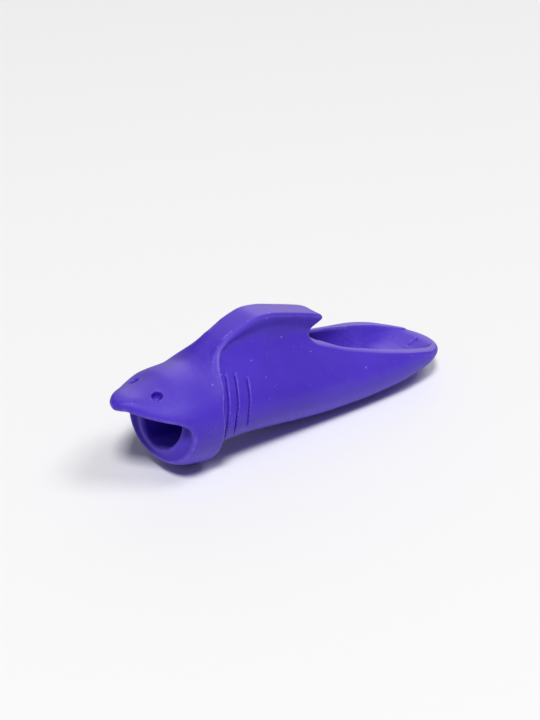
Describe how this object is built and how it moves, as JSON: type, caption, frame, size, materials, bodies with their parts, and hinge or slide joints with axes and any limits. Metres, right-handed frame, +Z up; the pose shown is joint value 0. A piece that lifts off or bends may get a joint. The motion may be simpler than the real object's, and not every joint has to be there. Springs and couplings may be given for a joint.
{
  "type": "pencil grip",
  "caption": "Slip-on silicone pencil grip in the form of a shark, with a pencil bore through mouth and body, a fin and flared cheeks as finger stops and a finger scoop in the tail.",
  "frame": {"origin": "centre of the bounding box's base, on the plane that the chin and belly rest on", "axes": "+X along the pencil bore from the nose to the tail, +Z up towards the fin, +Y across"},
  "size_m": [0.0564, 0.0148, 0.0184],
  "materials": {
    "silicone": "satin"
  },
  "bodies": {
    "root": {"snout": "silicone", "jaw_collar": "silicone", "grip_sleeve": "silicone", "dorsal_fin": "silicone", "tail_scoop": "silicone"}
  },
  "joints": []
}
